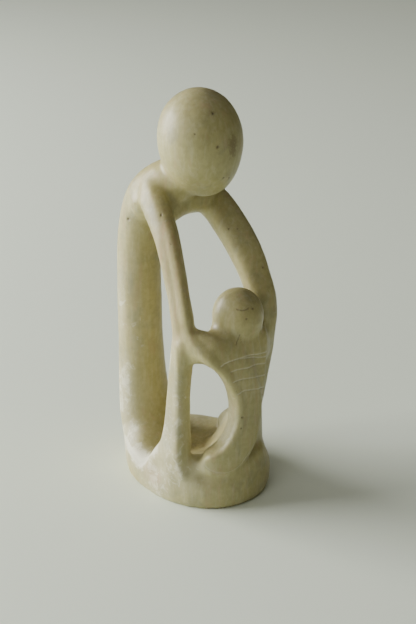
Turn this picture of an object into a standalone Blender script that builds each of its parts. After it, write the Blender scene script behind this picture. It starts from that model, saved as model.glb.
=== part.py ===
"""Soapstone carving of a parent bent over a child, cut as one openwork block.

The parent faces -Y and its left side is +X. The pose is drawn on the block that the
figures are cut from: side and back are shares of half the base's width and length,
and up is a share of the height.
"""

import math
from collections import namedtuple

import bmesh
import bpy
from mathutils import Matrix, Vector

# The block, in metres.
HEIGHT = 0.250
BASE_WIDTH = 0.083
BASE_LENGTH = 0.1045
BASE_HEIGHT = 0.019
BASE_SQUARENESS = 2.15
DISH_DEPTH = 0.007
SPOUT_WIDTH = 0.013
WALL_THICKNESS = 0.016

# The parent, in metres.
TORSO_WIDTH = 0.028
TORSO_THICKNESS = 0.026
SHOULDER_THICKNESS = 0.024
ARM_WIDTH = 0.0115
ARM_THICKNESS = 0.0135
LEG_WIDTH = 0.0125
HEAD_WIDTH = 0.050
HEAD_LENGTH = 0.0645

# The child, in metres.
CHILD_HEAD_WIDTH = 0.031
CHILD_HEAD_LENGTH = 0.035
CHILD_BODY_DEPTH = 0.016
CHILD_BODY_THICKNESS = 0.017
CHILD_BACK_WIDTH = 0.030

# How finely the forms are merged and how far the tool rounded the hollows between them.
GRAIN = HEIGHT / 190
GROUND_PASSES = 4
FILLET_PASSES = 7
CREASE_PASSES = 2
RING_SIDES = 28
STEPS_BETWEEN_STATIONS = 5
MOST_TRIANGLES = 9400

ACROSS = Vector((1, 0, 0))
ALONG = Vector((0, 1, 0))
RIGHT_ARM_FACES = Vector((0.88, 0.47, 0))
LEFT_ARM_FACES = Vector((0.88, -0.47, 0))

STONE_COLOUR = (0.46, 0.42, 0.27, 1.0)
STONE_ROUGHNESS = 0.42

# One section of a limb: where its centre is on the block, its size as a share of the
# limb's own width and thickness, and how square it is (2 is an ellipse).
Station = namedtuple("Station", "side back up width thickness square", defaults=(1.0, 1.0, 2.4))


def on_block(side, back, up):
    """A point of the pose, in metres."""
    return Vector((side * BASE_WIDTH / 2, back * BASE_LENGTH / 2, up * HEIGHT))


def between(before, start, end, after, share):
    """A value on the smooth curve from start to end that also heads for its neighbours."""
    return 0.5 * (
        2 * start
        + (end - before) * share
        + (2 * before - 5 * start + 4 * end - after) * share**2
        + (3 * start - before - 3 * end + after) * share**3
    )


def smooth_stations(stations):
    """The stations with further ones read off the smooth curve between them."""
    padded = [stations[0], *stations, stations[-1]]
    found = []
    for index in range(len(stations) - 1):
        four = padded[index : index + 4]
        for step in range(STEPS_BETWEEN_STATIONS):
            share = step / STEPS_BETWEEN_STATIONS
            found.append(Station(*(between(*values, share) for values in zip(*four))))
    return [*found, stations[-1]]


def section(centre, across, through, half_width, half_thickness, square):
    """A ring of points round a limb: an ellipse with squared corners."""
    ring = []
    for index in range(RING_SIDES):
        angle = 2 * math.pi * index / RING_SIDES
        cosine = math.cos(angle)
        sine = math.sin(angle)
        sideways = math.copysign(abs(cosine) ** (2 / square), cosine)
        forwards = math.copysign(abs(sine) ** (2 / square), sine)
        ring.append(centre + across * sideways * half_width + through * forwards * half_thickness)
    return ring


def new_object(name, mesh):
    """An object in the scene for this mesh."""
    made = bpy.data.objects.new(name, mesh)
    bpy.context.scene.collection.objects.link(made)
    return made


def limb(name, stations, width, thickness, sideways):
    """A closed limb through the stations. Its width lies as near to sideways as its own run lets it."""
    fine = smooth_stations(stations)
    centres = [on_block(s.side, s.back, s.up) for s in fine]
    shape = bmesh.new()
    rings = []
    for index, (centre, s) in enumerate(zip(centres, fine)):
        ahead = centres[min(index + 1, len(centres) - 1)] - centres[max(index - 1, 0)]
        across = (sideways - sideways.project(ahead)).normalized()
        through = ahead.normalized().cross(across)
        points = section(centre, across, through, s.width * width / 2, s.thickness * thickness / 2, s.square)
        rings.append([shape.verts.new(point) for point in points])
    for lower, upper in zip(rings, rings[1:]):
        for index in range(RING_SIDES):
            after = (index + 1) % RING_SIDES
            shape.faces.new((lower[index], lower[after], upper[after], upper[index]))
    shape.faces.new(rings[0][::-1])
    shape.faces.new(rings[-1])
    bmesh.ops.recalc_face_normals(shape, faces=shape.faces)
    mesh = bpy.data.meshes.new(name)
    shape.to_mesh(mesh)
    shape.free()
    return new_object(name, mesh)


def egg(name, centre, width, length, taper, tilt_back, tilt_side):
    """A head: a ball drawn out along its own length and narrower towards its chin."""
    shape = bmesh.new()
    bmesh.ops.create_uvsphere(shape, u_segments=48, v_segments=32, radius=0.5)
    for vertex in shape.verts:
        narrowing = 1 + taper * vertex.co.z
        vertex.co.x *= width * narrowing
        vertex.co.y *= width * narrowing
        vertex.co.z *= length
    turn = Matrix.Rotation(tilt_side, 4, "Y") @ Matrix.Rotation(tilt_back, 4, "X")
    shape.transform(Matrix.Translation(centre) @ turn)
    mesh = bpy.data.meshes.new(name)
    shape.to_mesh(mesh)
    shape.free()
    return new_object(name, mesh)


def combine(obj, other, operation):
    """Cuts the other object out of this one, or keeps only what the two share, and drops the other."""
    cut = obj.modifiers.new(other.name, "BOOLEAN")
    cut.operation = operation
    cut.solver = "EXACT"
    cut.object = other
    bake(obj)
    bpy.data.objects.remove(other)


def base_block():
    """The oval block under the figures, a little bulged."""
    profile = ((0.0, 0.95), (0.06, 0.975), (0.45, 1.0), (0.85, 0.985), (1.0, 0.95))
    rim = BASE_HEIGHT / HEIGHT
    stations = [Station(0, 0, share * rim, swell, swell, BASE_SQUARENESS) for share, swell in profile]
    return limb("base_block", stations, BASE_WIDTH, BASE_LENGTH, ACROSS)


def dish():
    """The hollow scooped out of the base between the feet."""
    size = (0.54 * BASE_WIDTH, 0.58 * BASE_LENGTH, 2.3 * DISH_DEPTH)
    return egg_shaped_cutter("dish", on_block(0.10, 0.16, BASE_HEIGHT / HEIGHT + 0.006), size)


def egg_shaped_cutter(name, centre, size):
    """A stretched ball to cut with."""
    shape = bmesh.new()
    bmesh.ops.create_uvsphere(shape, u_segments=40, v_segments=24, radius=0.5)
    bmesh.ops.scale(shape, verts=shape.verts, vec=size)
    bmesh.ops.translate(shape, verts=shape.verts, vec=centre)
    mesh = bpy.data.meshes.new(name)
    shape.to_mesh(mesh)
    shape.free()
    return new_object(name, mesh)


def spout():
    """The groove that runs out of the dish and down the front, between the right foot and the child."""
    stations = [
        Station(0.10, 0.10, 0.100, 0.9, 0.9, 2.0),
        Station(-0.05, -0.04, 0.103, 1.0, 1.0, 2.0),
        Station(-0.24, -0.25, 0.112, 1.0, 1.0, 2.0),
        Station(-0.45, -0.50, 0.126, 1.0, 1.0, 2.0),
        Station(-0.58, -0.76, 0.128, 1.0, 1.0, 2.0),
        Station(-0.62, -0.93, 0.108, 1.05, 1.05, 2.0),
        Station(-0.61, -1.00, 0.075, 1.1, 1.1, 2.0),
        Station(-0.60, -1.06, 0.040, 1.1, 1.1, 2.0),
        Station(-0.58, -1.12, 0.000, 1.0, 1.0, 2.0),
    ]
    return limb("spout", stations, SPOUT_WIDTH, SPOUT_WIDTH, ACROSS)


def envelope():
    """The outside of the block before carving, which the child's back and the base still show."""
    stations = [
        Station(0, 0, 0.0, 0.955, 0.955, 2.1),
        Station(0, 0, 0.008, 0.975, 0.975, 2.1),
        Station(0, 0, 0.04, 1.0, 0.995, 2.1),
        Station(0, 0.01, 0.08, 1.015, 0.995, 2.1),
        Station(0, 0.03, 0.13, 1.04, 1.025, 2.1),
        Station(0, 0.06, 0.22, 1.08, 1.06, 2.3),
        Station(0, 0.07, 0.34, 1.10, 1.065, 2.6),
        Station(0, 0.10, 0.42, 1.12, 1.04, 3.0),
        Station(0, 0.12, 0.48, 1.14, 1.04, 3.0),
        Station(0, 0.10, 0.60, 1.14, 1.08, 3.0),
        Station(0, 0.10, 0.95, 1.14, 1.08, 3.0),
    ]
    return limb("envelope", stations, BASE_WIDTH, BASE_LENGTH, ACROSS)


def torso():
    """The parent's back: a column that leans over at the shoulders and ends in the neck."""
    stations = [
        Station(-0.22, 0.60, 0.01, 1.6, 1.5, 2.2),
        Station(-0.25, 0.65, 0.06, 1.6, 1.4, 2.2),
        Station(-0.27, 0.72, 0.11, 1.45, 1.2, 2.2),
        Station(-0.27, 0.77, 0.16, 1.3, 1.05, 2.1),
        Station(-0.28, 0.80, 0.22, 1.18, 1.0, 2.1),
        Station(-0.305, 0.80, 0.34, 1.05, 1.0, 2.1),
        Station(-0.31, 0.80, 0.50, 1.02, 0.98, 2.1),
        Station(-0.298, 0.79, 0.61, 0.97, 0.98, 2.1),
        Station(-0.27, 0.71, 0.683, 1.04, 1.0, 2.1),
        Station(-0.22, 0.53, 0.741, 1.25, 1.0, 2.1),
        Station(-0.10, 0.26, 0.78, 1.35, 1.0, 2.1),
        Station(0.02, 0.02, 0.78, 1.1, 0.9, 2.1),
    ]
    return limb("torso", stations, TORSO_WIDTH, TORSO_THICKNESS, ACROSS)


def shoulders():
    """The beam from shoulder to shoulder, under the chin."""
    stations = [
        Station(-0.50, 0.26, 0.735, 0.8, 0.8),
        Station(-0.36, 0.26, 0.728, 1.0, 1.15),
        Station(-0.15, 0.28, 0.733, 1.0, 1.1),
        Station(0.10, 0.28, 0.733, 1.0, 1.0),
        Station(0.32, 0.28, 0.725, 1.0, 0.95),
        Station(0.44, 0.26, 0.715, 0.8, 0.8),
    ]
    return limb("shoulders", stations, SHOULDER_THICKNESS, SHOULDER_THICKNESS, ALONG)


def yoke():
    """The back of the shoulders, from arm to arm behind the neck."""
    stations = [
        Station(-0.50, 0.34, 0.738, 0.7, 0.8),
        Station(-0.36, 0.50, 0.720, 1.0, 1.05),
        Station(-0.12, 0.55, 0.716, 1.05, 1.05),
        Station(0.14, 0.50, 0.720, 1.0, 1.0),
        Station(0.34, 0.39, 0.722, 0.9, 0.95),
        Station(0.48, 0.27, 0.714, 0.7, 0.8),
    ]
    return limb("yoke", stations, SHOULDER_THICKNESS, SHOULDER_THICKNESS, ALONG)


def right_arm():
    """The arm on the parent's right, from the shoulder over to the elbow."""
    stations = [
        Station(-0.26, 0.56, 0.730, 1.1, 1.3, 2.6),
        Station(-0.42, 0.42, 0.752, 1.3, 1.3, 2.6),
        Station(-0.54, 0.26, 0.752, 1.4, 1.25, 3.2),
        Station(-0.595, 0.09, 0.724, 1.45, 1.15, 3.6),
        Station(-0.63, -0.07, 0.69, 1.38, 1.08, 3.6),
        Station(-0.655, -0.175, 0.66, 1.28, 1.04, 3.6),
        Station(-0.67, -0.26, 0.62, 1.1, 1.04, 3.6),
        Station(-0.675, -0.33, 0.575, 0.99, 1.04, 3.6),
        Station(-0.69, -0.415, 0.53, 0.93, 1.0, 3.6),
        Station(-0.70, -0.48, 0.487, 0.97, 1.05, 3.6),
        Station(-0.70, -0.485, 0.45, 0.95, 0.92, 3.0),
        Station(-0.70, -0.46, 0.41, 0.85, 0.65, 2.4),
    ]
    return limb("right_arm", stations, 0.85 * ARM_WIDTH, ARM_THICKNESS, RIGHT_ARM_FACES)


def left_arm():
    """The arm on the parent's left, which is heavier and reaches a little further forward."""
    stations = [
        Station(0.06, 0.50, 0.725, 1.1, 1.0, 2.6),
        Station(0.26, 0.42, 0.735, 1.4, 1.1, 2.6),
        Station(0.44, 0.29, 0.720, 1.7, 1.2, 3.0),
        Station(0.55, 0.13, 0.690, 1.78, 1.25, 3.0),
        Station(0.595, -0.03, 0.657, 1.78, 1.28, 3.0),
        Station(0.635, -0.20, 0.617, 1.74, 1.28, 3.0),
        Station(0.66, -0.35, 0.574, 1.66, 1.24, 3.0),
        Station(0.68, -0.46, 0.53, 1.56, 1.2, 3.0),
        Station(0.695, -0.54, 0.495, 1.46, 1.2, 3.0),
        Station(0.705, -0.58, 0.455, 1.32, 1.15, 2.8),
        Station(0.71, -0.56, 0.415, 1.25, 1.12, 2.8),
        Station(0.70, -0.51, 0.375, 1.15, 1.1, 2.8),
    ]
    return limb("left_arm", stations, ARM_WIDTH, ARM_THICKNESS, LEFT_ARM_FACES)


def right_leg():
    """The prop under the right elbow, which spreads into the base."""
    stations = [
        Station(-0.70, -0.50, 0.45, 0.95, 1.1, 3.6),
        Station(-0.70, -0.45, 0.38, 0.95, 1.1, 3.6),
        Station(-0.70, -0.40, 0.31, 0.95, 1.1, 3.6),
        Station(-0.70, -0.375, 0.25, 1.0, 1.2, 3.6),
        Station(-0.71, -0.36, 0.19, 1.1, 1.4, 3.2),
        Station(-0.72, -0.35, 0.14, 1.25, 2.0, 2.5),
        Station(-0.72, -0.33, 0.10, 1.4, 2.9, 2.3),
        Station(-0.68, -0.33, 0.06, 1.7, 3.6, 2.2),
        Station(-0.64, -0.34, 0.02, 2.0, 3.6, 2.2),
    ]
    return limb("right_leg", stations, LEG_WIDTH, LEG_WIDTH, ACROSS)


def left_leg():
    """The prop under the left elbow, against the child's back."""
    stations = [
        Station(0.70, -0.56, 0.45, 1.1, 1.3, 3.2),
        Station(0.725, -0.50, 0.375, 1.15, 1.3, 3.2),
        Station(0.725, -0.45, 0.32, 1.15, 1.25, 3.2),
        Station(0.70, -0.40, 0.25, 1.1, 1.3, 3.2),
        Station(0.67, -0.33, 0.19, 1.05, 1.75, 2.6),
        Station(0.67, -0.27, 0.14, 1.2, 2.35, 2.4),
        Station(0.65, -0.20, 0.09, 1.7, 3.5, 2.3),
        Station(0.62, -0.20, 0.02, 2.0, 3.7, 2.2),
    ]
    return limb("left_leg", stations, LEG_WIDTH, LEG_WIDTH, ACROSS)


def child_body():
    """The child's back and drawn-up legs: a crescent that opens towards the parent's right."""
    stations = [
        Station(-0.72, -0.46, 0.442, 0.9, 0.70, 2.6),
        Station(-0.63, -0.55, 0.438, 1.0, 0.88, 2.8),
        Station(-0.53, -0.68, 0.430, 1.0, 1.04, 3.0),
        Station(-0.40, -0.80, 0.415, 1.0, 1.15, 3.2),
        Station(-0.25, -0.85, 0.394, 1.0, 1.2, 3.2),
        Station(-0.11, -0.87, 0.358, 1.0, 1.20, 3.2),
        Station(-0.01, -0.87, 0.320, 1.0, 1.18, 3.2),
        Station(0.045, -0.87, 0.280, 1.0, 1.18, 3.2),
        Station(0.055, -0.87, 0.240, 1.0, 1.18, 3.2),
        Station(0.015, -0.87, 0.202, 1.05, 1.25, 3.2),
        Station(-0.09, -0.86, 0.165, 1.15, 1.25, 3.0),
        Station(-0.25, -0.82, 0.136, 1.2, 1.15, 2.8),
        Station(-0.41, -0.77, 0.126, 1.2, 1.02, 2.6),
        Station(-0.53, -0.73, 0.123, 1.1, 0.85, 2.3),
        Station(-0.61, -0.69, 0.122, 0.85, 0.62, 2.2),
        Station(-0.66, -0.66, 0.122, 0.5, 0.36, 2.0),
    ]
    return limb("child_body", stations, CHILD_BODY_DEPTH, CHILD_BODY_THICKNESS, ALONG)


def child_shoulders():
    """The child's far shoulder and the parent's left hand over it."""
    stations = [
        Station(-0.06, -0.70, 0.415, 0.9, 0.8),
        Station(0.17, -0.70, 0.402, 1.1, 1.15),
        Station(0.40, -0.66, 0.385, 1.15, 1.6),
        Station(0.66, -0.54, 0.385, 0.8, 1.6),
    ]
    return limb("child_shoulders", stations, CHILD_BODY_THICKNESS, CHILD_BODY_THICKNESS, ALONG)


def child_back():
    """The stone left between the child's back and the prop behind it."""
    stations = [
        Station(0.40, -0.60, 0.42, 1.05, 1.2),
        Station(0.40, -0.60, 0.28, 1.05, 1.2),
        Station(0.40, -0.60, 0.16, 1.05, 1.35),
        Station(0.38, -0.60, 0.06, 1.1, 1.6),
    ]
    return limb("child_back", stations, CHILD_BACK_WIDTH, LEG_WIDTH, Vector((0.75, 0.66, 0)))


def child_underarm():
    """The web in the corner between the right prop and the child's shoulder, set back from the front."""
    stations = [
        Station(-0.68, -0.60, 0.408, 1.0, 1.0, 2.2),
        Station(-0.48, -0.64, 0.406, 1.0, 1.0, 2.2),
        Station(-0.33, -0.67, 0.398, 1.0, 1.0, 2.2),
        Station(-0.17, -0.70, 0.376, 1.0, 1.0, 2.2),
        Station(-0.02, -0.74, 0.342, 0.9, 0.9, 2.2),
    ]
    return limb("child_underarm", stations, 0.8 * CHILD_BODY_DEPTH, 0.7 * CHILD_BODY_THICKNESS, ALONG)


def child_nape():
    """The flare from the side of the child's head down to its shoulder."""
    stations = [
        Station(0.00, -0.68, 0.49, 0.9, 0.7, 2.2),
        Station(-0.14, -0.69, 0.455, 1.2, 0.9, 2.2),
        Station(-0.24, -0.71, 0.42, 1.4, 0.9, 2.2),
    ]
    return limb("child_nape", stations, CHILD_BODY_DEPTH, CHILD_BODY_THICKNESS, ALONG)


def child_seat():
    """The front of the base, filled up to the child and sloping down behind it."""
    stations = [
        Station(0.08, -0.66, 0.02, 1.05, 1.30, 2.4),
        Station(0.07, -0.67, 0.06, 1.02, 1.25, 2.4),
        Station(0.04, -0.70, 0.095, 0.92, 1.05, 2.2),
        Station(0.00, -0.75, 0.130, 0.80, 0.65, 2.2),
    ]
    return limb("child_seat", stations, 0.6 * BASE_WIDTH, 0.28 * BASE_LENGTH, ACROSS)


def right_wall():
    """The low rim at the right between the torso and the leg, worn to a V."""
    stations = [
        Station(-0.42, 0.72, 0.165, 0.7, 0.7, 2.2),
        Station(-0.55, 0.61, 0.108, 0.85, 0.85, 2.2),
        Station(-0.70, 0.45, 0.074, 1.0, 1.0, 2.2),
        Station(-0.79, 0.27, 0.064, 1.0, 1.0, 2.2),
        Station(-0.81, 0.07, 0.045, 1.0, 1.0, 2.2),
        Station(-0.80, -0.01, 0.058, 1.0, 1.0, 2.2),
        Station(-0.77, -0.12, 0.098, 0.9, 0.9, 2.2),
        Station(-0.73, -0.22, 0.136, 0.8, 0.8, 2.2),
    ]
    return limb("right_wall", stations, WALL_THICKNESS, WALL_THICKNESS, ACROSS)


def left_wall():
    """The rim at the left, which sinks from the leg to the back of the base."""
    stations = [
        Station(0.68, -0.34, 0.125, 0.7, 0.7, 2.2),
        Station(0.71, -0.12, 0.096, 0.9, 0.9, 2.2),
        Station(0.77, 0.08, 0.074, 1.0, 1.0, 2.2),
        Station(0.78, 0.30, 0.054, 1.0, 1.0, 2.2),
        Station(0.66, 0.55, 0.040, 1.0, 1.0, 2.2),
        Station(0.46, 0.72, 0.038, 1.0, 1.0, 2.2),
        Station(0.20, 0.80, 0.060, 1.0, 1.0, 2.2),
    ]
    return limb("left_wall", stations, WALL_THICKNESS, WALL_THICKNESS, Vector((0, 0, 1)))


def bake(obj):
    """Applies the object's modifiers."""
    graph = bpy.context.evaluated_depsgraph_get()
    mesh = bpy.data.meshes.new_from_object(obj.evaluated_get(graph))
    obj.modifiers.clear()
    obj.data = mesh


def merged(name, pieces, passes):
    """One skin round all the pieces, with the hollows between them rounded by so many passes."""
    joined = bmesh.new()
    for piece in pieces:
        joined.from_mesh(piece.data)
        bpy.data.objects.remove(piece)
    mesh = bpy.data.meshes.new(name)
    joined.to_mesh(mesh)
    joined.free()
    made = new_object(name, mesh)
    skin = made.modifiers.new("skin", "REMESH")
    skin.mode = "VOXEL"
    skin.voxel_size = GRAIN
    soften = made.modifiers.new("soften", "SMOOTH")
    soften.factor = 0.5
    soften.iterations = round(passes)
    bake(made)
    return made


def thin_out(obj):
    """Brings the skin down to the fewest triangles that still hold the form."""
    triangles = sum(len(face.vertices) - 2 for face in obj.data.polygons)
    fewer = obj.modifiers.new("fewer", "DECIMATE")
    fewer.ratio = min(1.0, MOST_TRIANGLES / triangles)
    bake(obj)


def seat(obj):
    """Cuts the underside flat and puts the middle of the figure's outline on the origin."""
    shape = bmesh.new()
    shape.from_mesh(obj.data)
    cut = bmesh.ops.bisect_plane(
        shape,
        geom=[*shape.verts, *shape.edges, *shape.faces],
        plane_co=(0, 0, 0.02 * BASE_HEIGHT),
        plane_no=(0, 0, -1),
        clear_outer=True,
    )
    rim = [part for part in cut["geom_cut"] if isinstance(part, bmesh.types.BMEdge)]
    bmesh.ops.contextual_create(shape, geom=rim)
    bmesh.ops.triangulate(shape, faces=shape.faces)
    lows = [min(vertex.co[axis] for vertex in shape.verts) for axis in range(3)]
    highs = [max(vertex.co[axis] for vertex in shape.verts) for axis in range(3)]
    shift = (-(lows[0] + highs[0]) / 2, -(lows[1] + highs[1]) / 2, -lows[2])
    bmesh.ops.translate(shape, verts=shape.verts, vec=shift)
    shape.to_mesh(obj.data)
    shape.free()


def stone():
    """Pale olive soapstone, waxed to a low shine."""
    material = bpy.data.materials.new("soapstone")
    material.use_nodes = True
    shader = material.node_tree.nodes["Principled BSDF"]
    shader.inputs["Base Color"].default_value = STONE_COLOUR
    shader.inputs["Roughness"].default_value = STONE_ROUGHNESS
    shader.inputs["Metallic"].default_value = 0.0
    return material


def main():
    for obj in list(bpy.data.objects):
        bpy.data.objects.remove(obj)
    ground = merged(
        "ground",
        [base_block(), child_seat(), right_wall(), left_wall(), right_leg(), left_leg()],
        GROUND_PASSES,
    )
    combine(ground, dish(), "DIFFERENCE")
    combine(ground, spout(), "DIFFERENCE")
    figure = merged(
        "figure",
        [
            ground,
            torso(),
            shoulders(),
            yoke(),
            right_arm(),
            left_arm(),
            child_body(),
            child_shoulders(),
            child_back(),
            child_underarm(),
            child_nape(),
        ],
        FILLET_PASSES,
    )
    combine(figure, envelope(), "INTERSECT")
    head = egg(
        "head",
        on_block(0.036, -0.056, 0.874),
        HEAD_WIDTH,
        HEAD_LENGTH,
        0.14,
        math.radians(-4),
        math.radians(-5),
    )
    child_head = egg(
        "child_head", on_block(0.085, -0.69, 0.480), CHILD_HEAD_WIDTH, CHILD_HEAD_LENGTH, 0.05, 0.0, 0.0
    )
    carving = merged("parent_and_child", [figure, head, child_head], CREASE_PASSES)
    thin_out(carving)
    seat(carving)
    carving.data.materials.append(stone())
    carving.data.shade_smooth()
    collection = bpy.data.collections.new("soapstone_sculpture")
    bpy.context.scene.collection.children.link(collection)
    bpy.context.scene.collection.objects.unlink(carving)
    collection.objects.link(carving)


main()
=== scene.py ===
"""Soapstone carving of a parent bent over a child: its finished surface, its stone and the stage."""

import math

import bpy
import numpy as np
from bpy.props import FloatProperty, FloatVectorProperty, IntProperty, PointerProperty
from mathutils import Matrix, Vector, noise


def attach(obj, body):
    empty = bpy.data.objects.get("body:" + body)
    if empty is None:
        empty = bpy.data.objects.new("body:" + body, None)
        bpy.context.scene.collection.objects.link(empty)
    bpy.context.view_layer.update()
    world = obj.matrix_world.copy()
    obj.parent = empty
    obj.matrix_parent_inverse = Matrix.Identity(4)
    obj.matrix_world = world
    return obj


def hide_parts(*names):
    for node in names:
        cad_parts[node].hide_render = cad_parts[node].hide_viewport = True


bl_info = {
    "name": "Soapstone Parent and Child",
    "version": (1, 0, 0),
    "blender": (4, 5, 0),
    "location": "3D View > Sidebar > Soapstone",
    "description": "Finishes an openwork soapstone carving and sets it on a pale floor",
    "category": "Object",
}

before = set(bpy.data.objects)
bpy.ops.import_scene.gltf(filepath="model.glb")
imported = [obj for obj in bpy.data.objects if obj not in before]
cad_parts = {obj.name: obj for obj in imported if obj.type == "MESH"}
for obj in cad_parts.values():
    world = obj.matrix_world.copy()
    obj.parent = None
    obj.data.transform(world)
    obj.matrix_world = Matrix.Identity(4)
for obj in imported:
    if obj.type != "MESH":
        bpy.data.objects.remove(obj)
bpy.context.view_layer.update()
SOLID = "parent_and_child"

# Lengths are in metres and passes are counts. Shares and strengths have no unit.
SAME_PLACE = 0.00001
RESTING_BAND = 0.0005

BOWL_PASSES = 300
BOWL_DRAW = 0.9
DEEPEST_FILL = 0.012
BOWL_REACH = 1.6
EASING_PASSES = 6
RUBBING_PASSES = 60
RUBBING_REACH = 1.8
ARRIS_RISE = 0.0012
ARRIS_WIDTH = 0.0048
CREASE_DEPTH = 0.0005
CREASE_WIDTH = 0.0011

FIRST_PASSES = 5
BACKWARD_DRAW = -0.53
STAND_PASSES = 3
PLAIN_STAND = 0.00012
ARRIS_STAND = 0.00034

BROAD_WAVES = 60.0
FINE_WAVES = 170.0
FINE_WAVES_SHARE = 0.4
FOOT_BAND = 0.004

LINE_STEP = 0.0006
LINE_MARGIN = 0.006
FINE_FACES_WIDTH = 0.0012
FINE_FACES_CUTS = 2
RAGGED_WAVES = 900.0
LINE_WANDER = 0.00008
CUT_SHARE = 0.5
DUST_SHARE = 0.55
BACK_LINE_DUST = 0.4
CRACK_WANDER = 0.00035
CRACK_DEPTH = 0.00028
CRACK_WIDTH = 0.00030
CRACK_STAIN_WIDTH = 0.00038
PIT_WANDER = 0.5
PIT_DEPTH_SHARE = 0.55
PIT_WIDTH_SHARE = 0.6
PIT_STAIN_SHARE = 0.7

WEAR_PASSES = 120
WEAR_DRAW = 0.6
# Depths over which painted shade darkens the concave places.
HOLLOW_SHADE_RANGE = (0.0002, 0.0022)
# Heights over which proud places grow paler: partly wear, partly painted highlight.
PROUD_WEAR_AND_HIGHLIGHT_RANGE = (0.0005, 0.0022)
CREASE_WEAR = 1.7
CREASE_WEAR_WIDTH = 0.0022

# The place that the lights shine on, and the lights that have no settings of their own.
LIT_PLACE = (0.0, 0.0, 0.12)
TOP_TILT = (math.radians(-14), math.radians(-6), 0.0)
TOP_SPREAD = math.radians(100)
FRONT_TURN = math.radians(205)
FRONT_RISE = math.radians(28)
FRONT_REACH = 2.2
FRONT_SIZE = (1.2, 1.2)
SKY_COLOUR = (1.0, 0.85, 0.58, 1.0)
SENSOR_WIDTH = 36.0
NEAREST_SEEN = 0.01

# The lines scratched for the parent's fingers, in millimetres.
FINGER_LINES = (
    (
        (-19.5, -49.7, 97.9),
        (-14.6, -50.8, 99.6),
        (-7.9, -51.2, 99.8),
        (0.2, -51.0, 99.7),
        (8.0, -50.5, 98.2),
        (16.0, -49.4, 97.4),
    ),
    ((-6.3, -51.3, 99.7), (2.6, -51.0, 97.9), (9.8, -50.5, 95.6), (15.6, -49.4, 94.6)),
    (
        (-13.3, -51.6, 93.1),
        (-8.4, -52.0, 93.4),
        (-1.3, -51.6, 92.6),
        (5.7, -51.0, 92.1),
        (15.2, -50.0, 90.2),
    ),
    (
        (-12.0, -51.6, 86.4),
        (-6.1, -52.3, 86.6),
        (0.9, -52.0, 85.7),
        (8.2, -51.2, 83.9),
        (14.8, -50.2, 82.6),
    ),
    (
        (-8.5, -52.3, 78.0),
        (-4.5, -52.6, 78.9),
        (0.1, -52.6, 78.2),
        (6.4, -52.0, 76.9),
        (14.2, -50.3, 74.8),
    ),
)

# The line scratched round the child's back and under its feet, in millimetres.
BACK_LINE = (
    (-26.9, -41.6, 34.4),
    (-25.7, -42.4, 30.4),
    (-22.3, -45.2, 27.5),
    (-18.6, -47.6, 26.0),
    (-12.8, -49.9, 25.4),
    (-5.7, -51.6, 28.4),
    (-1.0, -52.6, 33.9),
    (3.8, -52.5, 38.4),
    (9.8, -50.9, 44.7),
    (12.0, -50.2, 52.1),
    (13.0, -50.0, 60.0),
)

# Blocks that fill out the child's front, the wall inside it, the saddle beside its feet and the
# foot of the parent's body: height and four corners in plan, in millimetres.
FRONT_BLOCK = (
    (60, (-3.0, -51.0), (11.0, -49.0), (26.0, -35.0), (2.0, -38.0)),
    (68, (-4.0, -52.2), (13.2, -50.2), (26.0, -35.0), (2.0, -38.0)),
    (78, (-5.5, -52.4), (14.4, -50.2), (26.0, -35.0), (2.0, -38.0)),
    (88, (-9.5, -52.0), (15.2, -50.0), (26.0, -35.0), (2.0, -38.0)),
    (97, (-15.0, -51.6), (16.0, -50.0), (26.0, -35.0), (2.0, -38.0)),
    (104, (-14.0, -50.8), (16.6, -49.8), (26.0, -35.0), (2.0, -38.0)),
    (109, (-12.0, -49.8), (16.8, -48.6), (26.0, -35.0), (2.0, -38.0)),
    (112, (-10.0, -48.0), (16.8, -47.0), (26.0, -35.0), (2.0, -38.0)),
)
INNER_BLOCK = (
    (8, (-14.0, -30.0), (0.0, -46.0), (30.0, 0.0), (12.0, 8.0)),
    (20, (-13.0, -36.0), (0.0, -46.0), (29.0, -4.0), (16.0, 3.0)),
    (30, (-12.0, -40.0), (0.0, -47.0), (29.0, -6.0), (20.0, -2.0)),
    (40, (-10.0, -42.0), (0.0, -47.0), (29.0, -9.0), (21.5, -5.0)),
    (50, (-8.0, -43.0), (0.0, -47.0), (22.0, -21.0), (16.0, -18.0)),
    (58, (-7.5, -43.5), (0.0, -47.0), (10.0, -35.0), (6.0, -33.0)),
)
SADDLE_BLOCK = (
    (8, (-34.0, -30.0), (-16.0, -42.0), (12.0, 0.0), (-4.0, 10.0)),
    (31, (-31.0, -29.0), (-19.0, -38.0), (-15.0, -32.0), (-26.0, -25.0)),
)
RUN_OUT_BLOCK = (
    (8, (-38.0, 2.0), (-10.0, 2.0), (-10.0, 26.0), (-36.0, 28.0)),
    (18, (-36.0, 4.0), (-11.0, 4.0), (-11.0, 27.0), (-34.0, 29.0)),
    (25, (-33.0, 14.0), (-12.0, 10.0), (-12.0, 28.0), (-33.0, 30.0)),
    (36, (-26.0, 33.5), (-14.0, 26.0), (-12.0, 28.0), (-25.0, 36.0)),
)

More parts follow.
